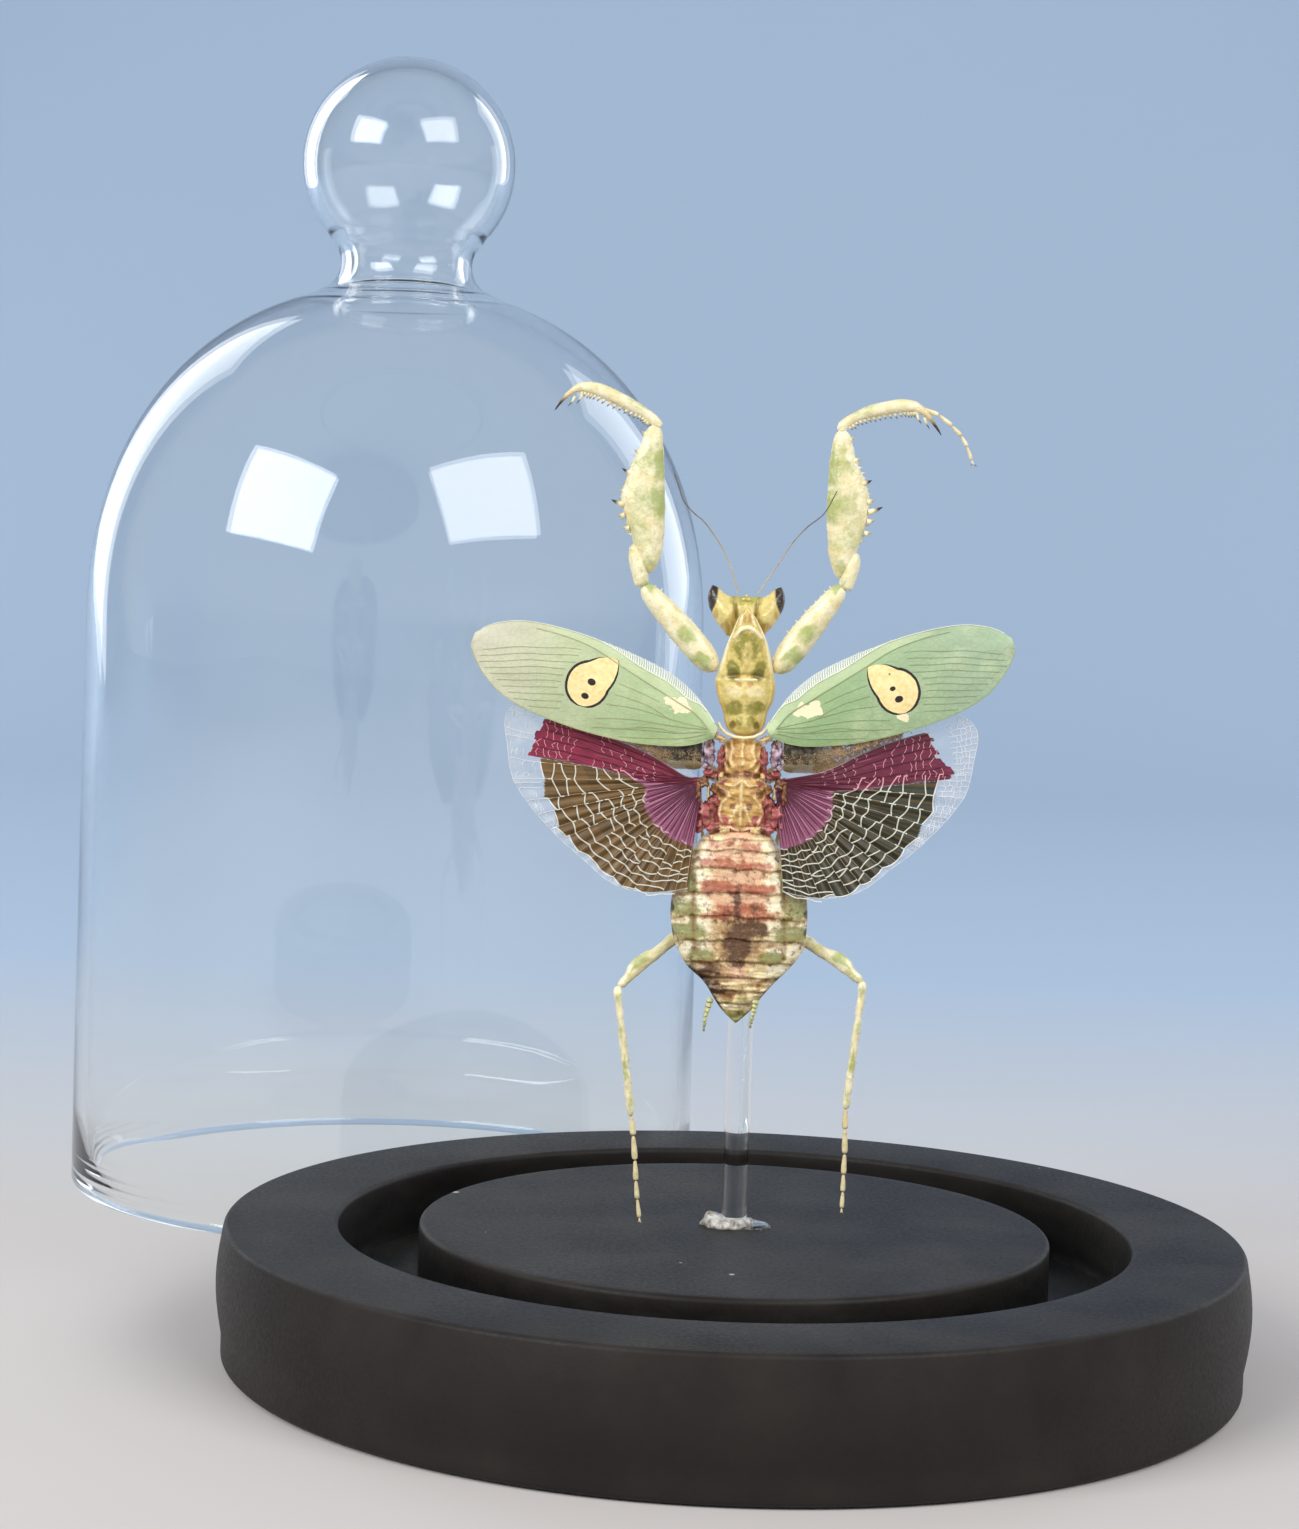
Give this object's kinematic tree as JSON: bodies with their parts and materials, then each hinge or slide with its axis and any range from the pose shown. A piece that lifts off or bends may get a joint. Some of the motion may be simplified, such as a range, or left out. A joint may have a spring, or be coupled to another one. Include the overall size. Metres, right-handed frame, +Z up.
{
  "type": "mounted mantis with glass dome",
  "caption": "Dried flower mantis with spread wings on a clear rod and round black base, its knobbed glass dome standing beside the base.",
  "frame": {"origin": "centre of the round base's underside, on the surface that it stands on", "axes": "+Z up; the insect's back and the display's front face -Y; +X to the right seen from the front; the dome stands towards -X and +Y"},
  "size_m": [0.1328, 0.1672, 0.1382],
  "materials": {
    "black_wood": "matt black paint",
    "clear_rod": "clear polished acrylic",
    "clear_glue": "clear set glue",
    "dome_glass": "clear blown glass",
    "head_shell": "dried shell, satin",
    "pronotum_shell": "dried shell, satin",
    "thorax_shell": "dried shell, satin",
    "abdomen_shell": "dried shell, satin",
    "leg_shell": "dried shell, satin",
    "antenna_thread": "dried shell, matt",
    "forewing_membrane": "thin dry membrane",
    "hindwing_membrane": "thin dry membrane"
  },
  "bodies": {
    "root": {"base": "black_wood", "rod": "clear_rod", "glue_foot": "clear_glue", "glue_top": "clear_glue", "dome": "dome_glass", "head": "head_shell", "pronotum": "pronotum_shell", "thorax": "thorax_shell", "abdomen": "abdomen_shell", "antenna_left": "antenna_thread", "forewing_left": "forewing_membrane", "hindwing_left": "hindwing_membrane", "fore_coxa_left": "leg_shell", "fore_femur_left": "leg_shell", "fore_tibia_left": "leg_shell", "mid_coxa_left": "leg_shell", "mid_femur_left": "leg_shell", "mid_tibia_left": "leg_shell", "mid_tarsus_left": "leg_shell", "hind_coxa_left": "leg_shell", "hind_femur_left": "leg_shell", "hind_tibia_left": "leg_shell", "hind_tarsus_left": "leg_shell", "cercus_left": "leg_shell", "antenna_right": "antenna_thread", "forewing_right": "forewing_membrane", "hindwing_right": "hindwing_membrane", "fore_coxa_right": "leg_shell", "fore_femur_right": "leg_shell", "fore_tibia_right": "leg_shell", "mid_coxa_right": "leg_shell", "mid_femur_right": "leg_shell", "mid_tibia_right": "leg_shell", "mid_tarsus_right": "leg_shell", "hind_coxa_right": "leg_shell", "hind_femur_right": "leg_shell", "hind_tibia_right": "leg_shell", "hind_tarsus_right": "leg_shell", "cercus_right": "leg_shell", "fore_tarsus_right": "leg_shell"}
  },
  "joints": []
}
